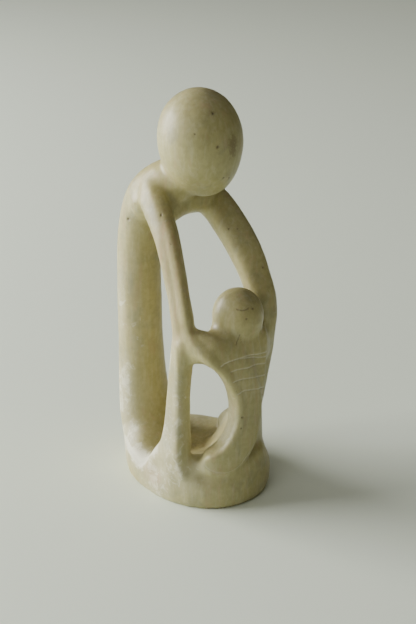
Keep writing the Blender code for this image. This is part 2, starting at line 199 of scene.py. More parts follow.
# The arrises that stand crisp, in millimetres.
ARRISES = (
    (
        (-22.0, 1.3, 189.0),
        (-23.6, -5.3, 182.5),
        (-26.9, -14.3, 172.2),
        (-29.1, -20.4, 159.1),
        (-29.1, -24.6, 145.0),
        (-30.3, -29.3, 131.3),
        (-30.3, -32.7, 119.9),
        (-30.4, -36.0, 112.8),
        (-28.5, -42.1, 106.9),
        (-26.3, -45.8, 103.2),
        (-22.6, -48.6, 99.3),
        (-17.3, -50.3, 92.0),
        (-12.9, -50.6, 84.3),
        (-9.0, -51.5, 77.0),
        (-7.0, -51.9, 69.9),
        (-6.7, -51.7, 59.7),
        (-8.9, -51.7, 51.7),
        (-13.3, -50.5, 43.8),
        (-17.9, -48.3, 39.0),
        (-22.3, -45.6, 36.3),
    ),
    (
        (-33.0, -28.5, 106.0),
        (-33.5, -28.5, 95.0),
        (-33.6, -28.5, 81.5),
        (-33.8, -28.3, 65.0),
        (-34.5, -28.0, 49.0),
        (-35.5, -28.0, 35.0),
        (-34.5, -31.0, 22.0),
    ),
)

# The worn crease where the body runs out over the edge of the base, in millimetres.
WORN_CREASE = (
    (-32.5, 33.0, 21.0),
    (-37.0, 22.0, 20.0),
    (-39.4, 11.3, 19.0),
    (-40.0, 4.5, 17.0),
    (-37.5, 0.5, 22.0),
    (-35.0, -1.0, 28.0),
)

# Hollows that are worked out to a smooth bowl: place and size in millimetres, and strength.
BOWLS = (
    ((-22.0, 16.0, 22.0), 15.0, 1.0),
    ((-32.0, 12.0, 24.0), 9.0, 0.8),
    ((6.0, 2.0, 16.0), 24.0, 1.0),
    ((20.0, -4.0, 26.0), 15.0, 1.0),
    ((-24.0, -37.0, 20.0), 9.0, 1.0),
)

# Places pressed in (less than zero) or raised, in millimetres: place, size and height.
PRESSED = (
    ((-27.0, -35.5, 31.5), 5.0, -4.5),
    ((-28.0, -35.0, 25.0), 6.0, -2.5),
    ((-6.0, -19.0, 192.0), 9.0, -2.2),
)

# Places rubbed soft: place and size in millimetres.
RUBBED = (
    ((-27.0, -33.0, 28.0), 8.0),
    ((-34.0, 12.0, 23.0), 8.0),
    ((-22.0, 22.0, 28.0), 13.0),
    ((-13.0, -49.0, 108.0), 6.0),
    ((16.0, -8.0, 28.0), 14.0),
    ((14.0, -20.0, 48.0), 13.0),
    ((-6.0, -20.0, 18.0), 14.0),
)

# Natural cracks, in millimetres.
CRACKS = (
    ((-6.6, -48.1, 109.4), (-5.4, -48.8, 111.4), (-4.6, -49.2, 113.7)),
    ((-6.6, -48.1, 109.4), (-7.4, -47.2, 107.6)),
    ((-5.2, -47.2, 129.4), (-2.8, -48.9, 128.7), (-0.6, -49.8, 128.9), (1.3, -50.0, 129.6)),
    ((15.2, -49.0, 74.0), (14.6, -49.6, 71.0), (13.8, -50.0, 68.0)),
)

# Pits: the place and the width of each, in millimetres.
PITS = (
    ((-15.5, -21.2, 229.3), 0.7),
    ((-3.7, -22.4, 239.7), 1.2),
    ((-4.7, -28.2, 221.6), 1.1),
    ((2.1, -25.3, 201.7), 0.8),
    ((6.7, -24.2, 200.6), 0.9),
    ((-25.2, 33.2, 167.3), 1.5),
    ((-29.1, -6.5, 180.9), 1.1),
    ((-5.3, -52.8, 61.8), 1.1),
    ((-6.0, -52.8, 54.6), 0.8),
    ((3.9, -50.6, 128.6), 1.1),
    ((-1.7, -51.5, 123.8), 0.7),
    ((12.0, -50.6, 70.3), 0.7),
    ((28.7, -30.9, 142.9), 0.9),
    ((18.6, -9.8, 163.3), 0.7),
    ((21.8, -14.4, 164.5), 0.5),
    ((24.0, 6.0, 232.0), 0.8),
    ((14.0, 20.0, 214.0), 0.9),
    ((-18.0, 53.0, 140.0), 1.1),
    ((4.0, 51.0, 92.0), 0.8),
    ((35.5, -22.0, 60.0), 0.9),
    ((33.0, 20.0, 12.0), 0.8),
    ((-5.0, 50.0, 16.0), 0.9),
)

# Patches of each kind: place and size in millimetres, strength, and how far it is drawn out.
PATCHES = {
    "pale": (
        ((-38.0, 8.0, 20.0), 8.0, 1.0, (1.0, 1.4, 1.0)),
        ((-28.0, 37.0, 58.0), 7.0, 0.8, (1.0, 1.0, 2.6)),
        ((-27.0, 41.0, 110.0), 6.0, 0.45, (1.0, 1.0, 6.0)),
        ((-22.0, 32.0, 110.0), 8.0, 0.28, (1.0, 1.0, 9.0)),
        ((-20.0, 28.0, 50.0), 9.0, 0.35, (1.0, 1.0, 2.0)),
        ((-35.0, -18.0, 100.0), 7.0, 0.5, (1.0, 1.0, 2.0)),
        ((-37.0, -19.0, 40.0), 12.0, 0.55, (1.0, 1.0, 1.6)),
        ((-34.0, 26.0, 30.0), 9.0, 0.8),
        ((-38.0, -4.0, 30.0), 9.0, 0.8),
        ((-40.0, -12.0, 14.0), 16.0, 0.7),
        ((-33.0, -30.0, 22.0), 15.0, 0.55),
        ((-36.0, -24.0, 55.0), 16.0, 0.35, (1.0, 1.0, 2.0)),
        ((-30.0, 40.0, 50.0), 15.0, 0.65, (1.0, 1.0, 1.8)),
        ((-32.0, 32.0, 20.0), 14.0, 0.75),
        ((-10.0, -45.0, 64.0), 12.0, 0.35, (1.0, 0.6, 1.6)),
        ((30.0, 34.0, 12.0), 14.0, 0.5),
        ((10.0, 52.0, 20.0), 16.0, 0.4),
        ((39.0, -10.0, 20.0), 14.0, 0.4),
    ),
    "honey": (
        ((-14.0, 34.0, 110.0), 26.0, 0.9, (1.0, 1.0, 3.0)),
        ((0.0, 30.0, 185.0), 22.0, 0.5),
        ((0.0, -10.0, 30.0), 26.0, 0.6),
        ((8.0, -48.0, 95.0), 22.0, 0.5),
        ((20.0, 10.0, 180.0), 22.0, 0.5),
    ),
    "grey": (
        ((-24.4, 34.0, 126.5), 2.2, 0.7, (1.0, 1.0, 3.5)),
        ((-21.0, 31.0, 118.0), 1.6, 0.5, (1.0, 1.0, 3.0)),
        ((-20.0, 32.0, 80.0), 1.8, 0.5, (1.0, 1.0, 4.0)),
        ((-33.8, -27.6, 81.8), 3.0, 0.6, (1.0, 1.0, 3.0)),
        ((-25.7, 12.8, 196.0), 4.0, 0.5),
        ((-12.8, 27.7, 96.3), 3.0, 0.4),
        ((24.0, 48.0, 120.0), 3.0, 0.5, (1.0, 1.0, 3.0)),
        ((30.0, 8.0, 190.0), 3.0, 0.4),
    ),
    "rose": (
        ((-40.4, -8.5, 14.6), 6.0, 1.3),
        ((-31.0, -14.0, 165.0), 7.0, 0.9, (1.0, 1.6, 3.0)),
        ((-33.0, -24.0, 138.0), 7.0, 0.8, (1.0, 1.0, 3.0)),
        ((-33.0, -28.0, 120.0), 5.0, 0.5, (1.0, 1.0, 3.0)),
    ),
    "stain_and_pocket_shade": (
        ((6.0, -28.6, 220.5), 5.5, 1.0, (1.0, 1.0, 1.9)),
        ((5.0, -25.0, 203.0), 4.0, 0.7),
        ((-3.7, -22.4, 239.7), 3.0, 0.6),
        ((-4.0, -49.0, 110.0), 5.0, 0.6),
        ((2.0, -50.0, 128.0), 5.0, 0.6),
        ((-12.0, 26.0, 37.0), 2.0, 0.8),
        # These two patches darken the bowl inside the base: partly a brown stain, partly painted shade.
        ((-6.0, -14.0, 18.0), 9.0, 0.8),
        ((2.0, 2.0, 14.0), 10.0, 0.7),
        ((-24.0, 6.0, 178.0), 5.0, 0.3),
        ((4.0, -30.0, 226.0), 4.0, 0.3),
    ),
}


class SurfaceSettings(bpy.types.PropertyGroup):
    """How finely the stone is worked."""

    grain: FloatProperty(
        name="Grain",
        description="Length of the faces that the worked surface is made of",
        default=0.0011,
        min=0.0005,
        unit="LENGTH",
    )
    sanding: IntProperty(
        name="Sanding",
        description="How many times the plain faces are sanded",
        default=60,
        min=0,
    )
    crispness: FloatProperty(
        name="Crispness",
        description="How far the arrises stand out again after the sanding",
        default=0.7,
        min=0,
        max=2,
    )
    wobble: FloatProperty(
        name="Wobble",
        description="How far hand work leaves the surface off a true curve",
        default=0.00022,
        unit="LENGTH",
    )
    line_width: FloatProperty(
        name="Line width",
        description="Width of the lines scratched for the fingers and round the child's back",
        default=0.0007,
        unit="LENGTH",
    )
    line_depth: FloatProperty(
        name="Line depth",
        description="Depth of the scratched lines",
        default=0.00025,
        unit="LENGTH",
    )


class StoneSettings(bpy.types.PropertyGroup):
    """Colours and polish of the stone."""

    cream: FloatVectorProperty(
        name="Cream",
        description="The stone's main colour",
        subtype="COLOR",
        size=4,
        min=0,
        max=1,
        default=(0.42, 0.388, 0.178, 1.0),
    )
    honey: FloatVectorProperty(
        name="Honey",
        description="The warmer, yellower stone",
        subtype="COLOR",
        size=4,
        min=0,
        max=1,
        default=(0.55, 0.47, 0.19, 1.0),
    )
    ash: FloatVectorProperty(
        name="Ash",
        description="The cool grey clouds and streaks",
        subtype="COLOR",
        size=4,
        min=0,
        max=1,
        default=(0.265, 0.262, 0.148, 1.0),
    )
    chalk: FloatVectorProperty(
        name="Chalk",
        description="Pale stone where the wax has worn off",
        subtype="COLOR",
        size=4,
        min=0,
        max=1,
        default=(0.74, 0.72, 0.54, 1.0),
    )
    # The shade colour is also laid in the hollows as painted shade.
    shade: FloatVectorProperty(
        name="Shade",
        description="The darker olive of the grain and of the hollows",
        subtype="COLOR",
        size=4,
        min=0,
        max=1,
        default=(0.22, 0.172, 0.06, 1.0),
    )
    rose: FloatVectorProperty(
        name="Rose",
        description="Pinkish tan streaks",
        subtype="COLOR",
        size=4,
        min=0,
        max=1,
        default=(0.50, 0.32, 0.18, 1.0),
    )
    slate: FloatVectorProperty(
        name="Slate",
        description="Small grey streaks",
        subtype="COLOR",
        size=4,
        min=0,
        max=1,
        default=(0.22, 0.22, 0.17, 1.0),
    )
    # Also the colour of the painted shade in the bowl inside the base.
    stain_and_pocket_shade: FloatVectorProperty(
        name="Stain",
        description="Brown mineral stains",
        subtype="COLOR",
        size=4,
        min=0,
        max=1,
        default=(0.15, 0.10, 0.04, 1.0),
    )
    pit: FloatVectorProperty(
        name="Pit",
        description="Dark mineral in the pits",
        subtype="COLOR",
        size=4,
        min=0,
        max=1,
        default=(0.12, 0.09, 0.05, 1.0),
    )
    roughness: FloatProperty(
        name="Roughness",
        description="Roughness of the waxed stone",
        default=0.41,
        min=0,
        max=1,
    )


class StageSettings(bpy.types.PropertyGroup):
    """Floor, light and camera."""

    floor_size: FloatProperty(
        name="Floor size",
        description="Length of the floor's sides",
        default=40.0,
        unit="LENGTH",
    )
    floor_colour: FloatVectorProperty(
        name="Floor colour",
        description="Colour of the plain floor",
        subtype="COLOR",
        size=4,
        min=0,
        max=1,
        default=(0.875, 0.95, 0.795, 1.0),
    )
    key_power: FloatProperty(
        name="Key light",
        description="Power of the soft light from the left, in watts",
        default=120.0,
    )
    key_turn: FloatProperty(
        name="Key direction",
        description="Where round the carving the soft light stands",
        default=math.radians(132.0),
        subtype="ANGLE",
        unit="ROTATION",
    )
    key_rise: FloatProperty(
        name="Key rise",
        description="How steeply the soft light falls",
        default=math.radians(16.0),
        subtype="ANGLE",
        unit="ROTATION",
    )
    key_reach: FloatProperty(
        name="Key distance",
        description="How far away the soft light stands",
        default=2.2,
        unit="LENGTH",
    )
    key_size: FloatVectorProperty(
        name="Key size",
        description="Width and height of the soft light",
        subtype="XYZ",
        unit="LENGTH",
        size=2,
        default=(1.9, 1.2),
    )
    top_power: FloatProperty(
        name="Top light",
        description="Strength of the weak, very soft light from above",
        default=0.5,
    )
    front_power: FloatProperty(
        name="Front light",
        description="Power of the weak light from beside the camera, in watts",
        default=7.0,
    )
    fill: FloatProperty(
        name="Fill",
        description="Strength of the even light from all round",
        default=0.055,
    )
    lens: FloatProperty(
        name="Lens",
        description="Focal length of the camera, in millimetres",
        default=72.1,
    )
    eye: FloatVectorProperty(
        name="Eye",
        description="Where the camera stands",
        subtype="TRANSLATION",
        unit="LENGTH",
        size=3,
        default=(-0.4301, -0.5636, 0.4046),
    )
    aim: FloatVectorProperty(
        name="Aim",
        description="How the camera is turned",
        subtype="EULER",
        unit="ROTATION",
        size=3,
        default=(math.radians(67.5), 0.0, math.radians(-38.0)),
    )


def only(obj):
    """Selects this object alone."""
    bpy.ops.object.select_all(action="DESELECT")
    obj.select_set(True)
    bpy.context.view_layer.objects.active = obj


def finish_modifier(obj, kind, **values):
    """Adds a modifier with these values and applies it."""
    only(obj)
    bpy.ops.object.modifier_add(type=kind)
    modifier = obj.modifiers[-1]
    for name, value in values.items():
        setattr(modifier, name, value)
    bpy.ops.object.modifier_apply(modifier=modifier.name)


def rough_out():
    """A closed copy of the solid, free for further work."""
    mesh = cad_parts[SOLID].data.copy()
    mesh.materials.clear()
    carving = bpy.data.objects.new("carving", mesh)
    bpy.context.scene.collection.objects.link(carving)
    only(carving)
    bpy.ops.object.mode_set(mode="EDIT")
    bpy.ops.mesh.select_all(action="SELECT")
    bpy.ops.mesh.remove_doubles(threshold=SAME_PLACE)
    bpy.ops.object.mode_set(mode="OBJECT")
    return carving


def points_of(mesh):
    """The mesh's points, one row each."""
    points = np.empty(len(mesh.vertices) * 3)
    mesh.vertices.foreach_get("co", points)
    return points.reshape(-1, 3)


def normals_of(mesh):
    """The direction out of the surface at each point."""
    normals = np.empty(len(mesh.vertices) * 3)
    mesh.vertex_normals.foreach_get("vector", normals)
    return normals.reshape(-1, 3)


def put_points(mesh, points):
    """Moves the mesh's points."""
    mesh.vertices.foreach_set("co", points.ravel())
    mesh.update()


def ties_of(mesh):
    """The two ends of every edge, and how many edges meet at each point."""
    ends = np.empty(len(mesh.edges) * 2, dtype=np.int64)
    mesh.edges.foreach_get("vertices", ends)
    ends = ends.reshape(-1, 2)
    return ends, np.bincount(ends.ravel(), minlength=len(mesh.vertices))


def drawn_in(values, ties, share):
    """Each point's values moved by this share of the way to the mean of its neighbours'."""
    ends, counts = ties
    table = values.reshape(len(counts), -1)
    mean = np.empty_like(table)
    for column in range(table.shape[1]):
        total = np.bincount(ends[:, 0], weights=table[ends[:, 1], column], minlength=len(counts))
        total += np.bincount(ends[:, 1], weights=table[ends[:, 0], column], minlength=len(counts))
        mean[:, column] = total / np.maximum(counts, 1)
    return (table + share * (mean - table)).reshape(values.shape)


def settled(values, ties, share, passes):
    """The values drawn in this many times."""
    for _ in range(passes):
        values = drawn_in(values, ties, share)
    return values


def fading(away, width):
    """1 in the middle, less and less beyond this width."""
    return np.exp(-((away / width) ** 2))


def step_up(values, low, high):
    """0 below low, 1 above high and a smooth step between."""
    share = np.clip((values - low) / (high - low), 0.0, 1.0)
    return share * share * (3 - 2 * share)


def flatten_underside(points):
    """Puts the resting face back on the floor."""
    points[:, 2] = np.where(points[:, 2] < RESTING_BAND, 0.0, points[:, 2])
    return points


def join_block(carving, levels):
    """Joins a block, given by its corners at each height, to the rough carving."""
    corners = []
    for height, *plan in levels:
        for side, forward in plan:
            corners.append((side / 1000, forward / 1000, height / 1000))
    faces = [(3, 2, 1, 0), tuple(len(corners) - 4 + index for index in range(4))]
    for level in range(len(levels) - 1):
        for index in range(4):
            here = 4 * level + index
            after = 4 * level + (index + 1) % 4
            faces.append((here, after, after + 4, here + 4))
    mesh = bpy.data.meshes.new("block")
    mesh.from_pydata(corners, [], faces)
    block = bpy.data.objects.new("block", mesh)
    bpy.context.scene.collection.objects.link(block)
    only(block)
    bpy.ops.object.mode_set(mode="EDIT")
    bpy.ops.mesh.select_all(action="SELECT")
    bpy.ops.mesh.normals_make_consistent(inside=False)
    bpy.ops.object.mode_set(mode="OBJECT")
    only(carving)
    block.select_set(True)
    bpy.ops.object.join()


def work_out(carving):
    """Rounds sharp hollows to bowls, presses in what stands too far out and lifts the crisp arrises."""
    mesh = carving.data
    ties = ties_of(mesh)
    points = points_of(mesh)
    normals = normals_of(mesh)
    wide = settled(points, ties, BOWL_DRAW, BOWL_PASSES)
    rise = np.clip(((wide - points) * normals).sum(1), 0.0, DEEPEST_FILL)
    share = np.zeros(len(points))
    for place, size, strength in BOWLS:
        share = np.maximum(share, strength * np.minimum(1.0, BOWL_REACH * patch(points, place, size)))
    move = rise * share
    for place, size, height in PRESSED:
        move += height / 1000 * patch(points, place, size)
    move = settled(move, ties, 0.5, EASING_PASSES)
    points = points + normals * move[:, None]
    rubbed = np.zeros(len(points))
    for place, size in RUBBED:
        rubbed = np.maximum(rubbed, np.minimum(1.0, RUBBING_REACH * patch(points, place, size)))
    for _ in range(RUBBING_PASSES):
        points = points + (drawn_in(points, ties, 0.5) - points) * rubbed[:, None]
    put_points(mesh, flatten_underside(points))
    points = points_of(mesh)
    normals = normals_of(mesh)
    for places in ARRISES:
        away = reach(points, drawn_on(carving, places))
        points = points + normals * (ARRIS_RISE * np.clip(1 - away / ARRIS_WIDTH, 0.0, 1.0))[:, None]
    away = reach(points, drawn_on(carving, WORN_CREASE))
    points = points - normals * (CREASE_DEPTH * fading(away, CREASE_WIDTH))[:, None]
    put_points(mesh, flatten_underside(points))


def sand(carving, surface):
    """One even skin: plain faces sanded smooth and the arrises between them left crisp."""
    finish_modifier(carving, "REMESH", mode="VOXEL", voxel_size=surface.grain)
    mesh = carving.data
    ties = ties_of(mesh)
    light = settled(points_of(mesh), ties, 0.5, FIRST_PASSES)
    put_points(mesh, light)
    normals = normals_of(mesh)
    even = light
    for _ in range(surface.sanding):
        even = drawn_in(drawn_in(even, ties, 0.5), ties, BACKWARD_DRAW)
    stand = settled(((light - even) * normals).sum(1), ties, 0.5, STAND_PASSES)
    arris = step_up(np.abs(stand), PLAIN_STAND, ARRIS_STAND)[:, None]
    points = even * (1 - arris) + light * arris
    points += normals * (surface.crispness * np.maximum(stand - PLAIN_STAND, 0.0))[:, None]
    put_points(mesh, flatten_underside(points))


def unevenness(place):
    """How far, as a share of the wobble, the hand is off a true curve here."""
    return noise.noise(place * BROAD_WAVES) + FINE_WAVES_SHARE * noise.noise(place * FINE_WAVES)


def hand_work(carving, surface):
    """The slight unevenness that rasps and sandpaper leave."""
    points = points_of(carving.data)
    normals = normals_of(carving.data)
    rise = np.array([unevenness(Vector(point)) for point in points])
    free = np.clip(points[:, 2] / FOOT_BAND, 0.0, 1.0)
    put_points(carving.data, points + normals * (rise * free * surface.wobble)[:, None])


def between(before, start, end, after, share):
    """A place on the smooth curve from start to end that also heads for its neighbours."""
    return 0.5 * (
        2 * start
        + (end - before) * share
        + (2 * before - 5 * start + 4 * end - after) * share**2
        + (3 * start - before - 3 * end + after) * share**3
    )


def drawn_on(carving, places):
    """A smooth line through the places, given in millimetres, laid on the carving's surface."""
    marks = [Vector(place) / 1000 for place in places]
    marks = [marks[0], *marks, marks[-1]]
    line = []
    for index in range(1, len(marks) - 2):
        steps = max(2, round((marks[index + 1] - marks[index]).length / LINE_STEP))
        for step in range(steps):
            line.append(between(*marks[index - 1 : index + 3], step / steps))
    line.append(marks[-1])
    return np.array([carving.closest_point_on_mesh(place)[1] for place in line])


def reach(points, line):
    """How far each point is from the line. Points that are far off count as a metre away."""
    nearest = np.full(len(points), 1.0)
    low = line.min(0) - LINE_MARGIN
    high = line.max(0) + LINE_MARGIN
    close = np.flatnonzero(((points > low) & (points < high)).all(1))
    found = np.full(len(close), 1.0)
    for start, end in zip(line, line[1:]):
        run = end - start
        share = np.clip(((points[close] - start) @ run) / max(run @ run, 1e-12), 0.0, 1.0)
        away = np.linalg.norm(points[close] - start - share[:, None] * run, axis=1)
        found = np.minimum(found, away)
    nearest[close] = found
    return nearest


def refine(carving, lines, width, cuts):
    """Gives the surface finer faces along the lines."""
    mesh = carving.data
    points = points_of(mesh)
    close = np.zeros(len(points), dtype=bool)
    for line in lines:
        close |= reach(points, line) < width
    faces = [face.index for face in mesh.polygons if any(close[corner] for corner in face.vertices)]
    only(carving)
    bpy.ops.object.mode_set(mode="EDIT")
    bpy.ops.mesh.select_all(action="DESELECT")
    bpy.ops.object.mode_set(mode="OBJECT")
    chosen = np.zeros(len(mesh.polygons), dtype=bool)
    chosen[faces] = True
    mesh.polygons.foreach_set("select", chosen)
    bpy.ops.object.mode_set(mode="EDIT")
    bpy.ops.mesh.subdivide(number_cuts=cuts)
    bpy.ops.object.mode_set(mode="OBJECT")


def scribe(carving, surface):
    """Cuts the scratched lines, the cracks and the pits into the surface, and keeps their masks."""
    fine = [drawn_on(carving, places) for places in FINGER_LINES + (BACK_LINE,)]
    cracks = [drawn_on(carving, places) for places in CRACKS]
    pits = [(drawn_on(carving, (place, place)), size / 1000) for place, size in PITS]
    refine(carving, fine + cracks + [line for line, size in pits], FINE_FACES_WIDTH, FINE_FACES_CUTS)
    points = points_of(carving.data)
    normals = normals_of(carving.data)
    depth = np.zeros(len(points))
    dust = np.zeros(len(points))
    dark = np.zeros(len(points))
    ragged = np.array([noise.noise(Vector(point) * RAGGED_WAVES) for point in points])
    for index, line in enumerate(fine):
        faint = BACK_LINE_DUST if index == len(FINGER_LINES) else 1.0
        near = reach(points, line) + ragged * LINE_WANDER
        depth = np.maximum(depth, surface.line_depth * fading(near, CUT_SHARE * surface.line_width))
        drawn = faint * (0.75 + 0.5 * ragged) * fading(near, DUST_SHARE * surface.line_width)
        dust = np.maximum(dust, drawn)
    for line in cracks:
        near = reach(points, line) + ragged * CRACK_WANDER
        depth = np.maximum(depth, CRACK_DEPTH * fading(near, CRACK_WIDTH))
        dark = np.maximum(dark, (0.8 + 0.7 * ragged) * fading(near, CRACK_STAIN_WIDTH))
    for line, size in pits:
        near = reach(points, line) * (1 + PIT_WANDER * ragged)
        depth = np.maximum(depth, PIT_DEPTH_SHARE * size * fading(near, PIT_WIDTH_SHARE * size))
        dark = np.maximum(dark, fading(near, PIT_STAIN_SHARE * size))
    put_points(carving.data, points - normals * depth[:, None])
    return {"dust": np.clip(dust, 0, 1), "dark": np.clip(dark, 0, 1)}


def patch(points, place, size, stretch=(1, 1, 1)):
    """A soft patch round a place, both in millimetres."""
    away = (points * 1000 - np.array(place)) / (size * np.array(stretch))
    return np.exp(-(away**2).sum(1))


def weather(carving, masks):
    """Where the stone is worn pale, stained, yellow or pink; where the hollows and the bowl inside the
    base get painted shade; and where proud places grow paler, partly wear and partly painted highlight.
    """
    mesh = carving.data
    points = points_of(mesh)
    normals = normals_of(mesh)
    wide = settled(points, ties_of(mesh), WEAR_DRAW, WEAR_PASSES)
    stand = ((points - wide) * normals).sum(1)
    # Painted shade: concave places are darkened.
    masks["hollow"] = step_up(-stand, *HOLLOW_SHADE_RANGE)
    # Proud places grow paler: partly wear, partly painted highlight.
    masks["proud_wear_and_highlight"] = step_up(stand, *PROUD_WEAR_AND_HIGHLIGHT_RANGE)
    crease = fading(reach(points, drawn_on(carving, WORN_CREASE)), CREASE_WEAR_WIDTH)
    for name, patches in PATCHES.items():
        total = np.zeros(len(points))
        for place, size, strength, *stretch in patches:
            total = np.maximum(total, strength * patch(points, place, size, *stretch))
        masks[name] = np.maximum(total, CREASE_WEAR * crease) if name == "pale" else total
    for name, values in masks.items():
        layer = mesh.attributes.new(name, "FLOAT", "POINT")
        layer.data.foreach_set("value", values.astype(np.float32))


class Sockets:
    """A node tree that is filled node by node."""

    def __init__(self, tree):
        self.tree = tree

    def node(self, kind, **values):
        """A new node with these values."""
        made = self.tree.nodes.new(kind)
        for name, value in values.items():
            setattr(made, name, value)
        return made

    def feed(self, socket, value):
        """Links another node's socket to this one, or sets a plain value."""
        if isinstance(value, bpy.types.NodeSocket):
            self.tree.links.new(value, socket)
        else:
            socket.default_value = value

    def made(self, kind, inputs):
        """A new node with its sockets fed by name."""
        node = self.node(kind)
        for name, value in inputs.items():
            self.feed(node.inputs[name], value)
        return node

    def calculate(self, operation, first, second=0.0, third=0.0, clamp=False):
        """One step of arithmetic."""
        node = self.node("ShaderNodeMath", operation=operation, use_clamp=clamp)
        for socket, value in zip(node.inputs, (first, second, third)):
            self.feed(socket, value)
        return node.outputs[0]

    def ramp(self, value, low, high, start=0.0, end=1.0):
        """A smooth step from start to end while the value goes from low to high."""
        node = self.node("ShaderNodeMapRange", interpolation_type="SMOOTHSTEP")
        for name, given in (
            ("Value", value),
            ("From Min", low),
            ("From Max", high),
            ("To Min", start),
            ("To Max", end),
        ):
            self.feed(node.inputs[name], given)
        return node.outputs["Result"]

    def blend(self, share, under, over):
        """This share of one colour laid over another."""
        node = self.node("ShaderNodeMix", data_type="RGBA")
        self.feed(node.inputs["Factor"], share)
        self.feed(node.inputs["A"], under)
        self.feed(node.inputs["B"], over)
        return node.outputs["Result"]


def new_group(name, inputs, outputs):
    """An empty shader group with these sockets: (name, kind, default) in and (name, kind) out."""
    tree = bpy.data.node_groups.new(name, "ShaderNodeTree")
    for label, kind, default in inputs:
        socket = tree.interface.new_socket(label, in_out="INPUT", socket_type=kind)
        if default is not None:
            socket.default_value = default
    for label, kind in outputs:
        tree.interface.new_socket(label, in_out="OUTPUT", socket_type=kind)
    sockets = Sockets(tree)
    return sockets, sockets.node("NodeGroupInput"), sockets.node("NodeGroupOutput")


def clouds_group():
    """Soft clouds in the stone, drawn out along its bed."""
    sockets, given, result = new_group(
        "Stone Clouds",
        [
            ("Vector", "NodeSocketVector", None),
            ("Scale", "NodeSocketFloat", 20.0),
            ("Warp", "NodeSocketFloat", 0.4),
            ("Low", "NodeSocketFloat", 0.4),
            ("High", "NodeSocketFloat", 0.65),
        ],
        [("Mask", "NodeSocketFloat")],
    )
    bend = sockets.made(
        "ShaderNodeTexNoise",
        {"Vector": given.outputs["Vector"], "Scale": given.outputs["Scale"], "Detail": 2.0},
    )
    shifted = sockets.node("ShaderNodeVectorMath", operation="MULTIPLY_ADD")
    sockets.feed(shifted.inputs[0], bend.outputs["Color"])
    amount = sockets.calculate("DIVIDE", given.outputs["Warp"], given.outputs["Scale"])
    sockets.feed(shifted.inputs[1], amount)
    sockets.feed(shifted.inputs[2], given.outputs["Vector"])
    cloud = sockets.made(
        "ShaderNodeTexNoise",
        {"Vector": shifted.outputs[0], "Scale": given.outputs["Scale"], "Detail": 6.0, "Roughness": 0.6},
    )
    mask = sockets.ramp(cloud.outputs["Fac"], given.outputs["Low"], given.outputs["High"])
    sockets.feed(result.inputs["Mask"], mask)
    return sockets.tree


def specks_group():
    """Small scattered specks, most of them faint and a few strong."""
    sockets, given, result = new_group(
        "Scattered Specks",
        [
            ("Vector", "NodeSocketVector", None),
            ("Scale", "NodeSocketFloat", 300.0),
            ("Size", "NodeSocketFloat", 0.2),
            ("Share", "NodeSocketFloat", 0.1),
        ],
        [("Mask", "NodeSocketFloat")],
    )
    ragged = sockets.made(
        "ShaderNodeTexNoise", {"Vector": given.outputs["Vector"], "Scale": 900.0, "Detail": 2.0}
    )
    shifted = sockets.node("ShaderNodeVectorMath", operation="MULTIPLY_ADD")
    sockets.feed(shifted.inputs[0], ragged.outputs["Color"])
    sockets.feed(shifted.inputs[1], sockets.calculate("DIVIDE", 0.25, given.outputs["Scale"]))
    sockets.feed(shifted.inputs[2], given.outputs["Vector"])
    cells = sockets.made(
        "ShaderNodeTexVoronoi", {"Vector": shifted.outputs[0], "Scale": given.outputs["Scale"]}
    )
    near = sockets.ramp(cells.outputs["Distance"], 0.0, given.outputs["Size"], 1.0, 0.0)
    apart = sockets.node("ShaderNodeSeparateColor")
    sockets.feed(apart.inputs[0], cells.outputs["Color"])
    chosen = sockets.calculate("LESS_THAN", apart.outputs[0], given.outputs["Share"])
    strength = sockets.calculate("MULTIPLY", chosen, apart.outputs[1])
    sockets.feed(result.inputs["Mask"], sockets.calculate("MULTIPLY", near, strength))
    return sockets.tree


def streaks_group():
    """Ragged streaks that run up the limbs."""
    sockets, given, result = new_group(
        "Stone Streaks",
        [
            ("Vector", "NodeSocketVector", None),
            ("Scale", "NodeSocketFloat", 300.0),
            ("Low", "NodeSocketFloat", 0.5),
            ("High", "NodeSocketFloat", 0.6),
        ],
        [("Mask", "NodeSocketFloat")],
    )
    drawn = sockets.made(
        "ShaderNodeMapping",
        {"Vector": given.outputs["Vector"], "Rotation": (0.12, 0.10, 0.0), "Scale": (1.0, 1.0, 0.16)},
    )
    strokes = sockets.made(
        "ShaderNodeTexNoise",
        {
            "Vector": drawn.outputs[0],
            "Scale": given.outputs["Scale"],
            "Detail": 5.0,
            "Roughness": 0.62,
            "Distortion": 0.4,
        },
    )
    mask = sockets.ramp(strokes.outputs["Fac"], given.outputs["Low"], given.outputs["High"])
    sockets.feed(result.inputs["Mask"], mask)
    return sockets.tree


def worn_group():
    """Ragged scuffed patches that grow with the given amount."""
    sockets, given, result = new_group(
        "Worn Patches",
        [
            ("Vector", "NodeSocketVector", None),
            ("Scale", "NodeSocketFloat", 150.0),
            ("Amount", "NodeSocketFloat", 0.5),
        ],
        [("Mask", "NodeSocketFloat")],
    )
    broad = sockets.made(
        "ShaderNodeTexNoise",
        {
            "Vector": given.outputs["Vector"],
            "Scale": given.outputs["Scale"],
            "Detail": 8.0,
            "Roughness": 0.72,
            "Distortion": 0.8,
        },
    )
    level = sockets.calculate("MULTIPLY_ADD", given.outputs["Amount"], -0.38, 0.72)
    over = sockets.calculate("SUBTRACT", broad.outputs["Fac"], level)
    sockets.feed(result.inputs["Mask"], sockets.ramp(over, -0.03, 0.10))
    return sockets.tree


